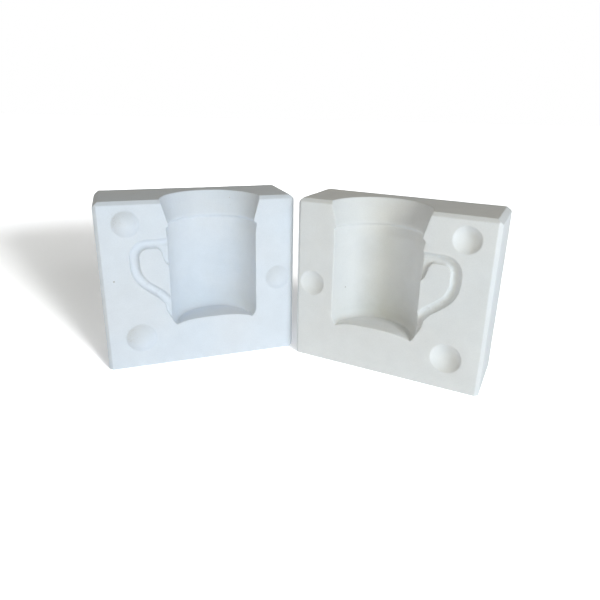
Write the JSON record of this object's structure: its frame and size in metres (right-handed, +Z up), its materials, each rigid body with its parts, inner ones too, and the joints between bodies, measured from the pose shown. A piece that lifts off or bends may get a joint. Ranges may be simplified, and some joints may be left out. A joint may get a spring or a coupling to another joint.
{
  "type": "plaster mold",
  "caption": "Two-piece plaster slip-casting mold for a handled mug, standing open: half cavities with pour funnel and handle channel, keyed by raised natches and hollows.",
  "frame": {"origin": "on the table under the middle of the two open halves' bounding box", "axes": "+X from the left half to the right half, +Y from the viewer towards the backs, so the cavities open towards -Y, +Z up"},
  "size_m": [0.4374, 0.175, 0.18],
  "materials": {
    "plaster_left": "matte",
    "plaster_right": "matte"
  },
  "bodies": {
    "left_half": {"left_half": "plaster_left"},
    "right_half": {"right_half": "plaster_right"}
  },
  "joints": [
    {"name": "mold_closing", "type": "hinge", "parent": "left_half", "child": "right_half", "pos_m": [0.00384, 0.00959, 0], "axis": [0, 0, -1], "range_deg": [-45, 134.1]}
  ]
}
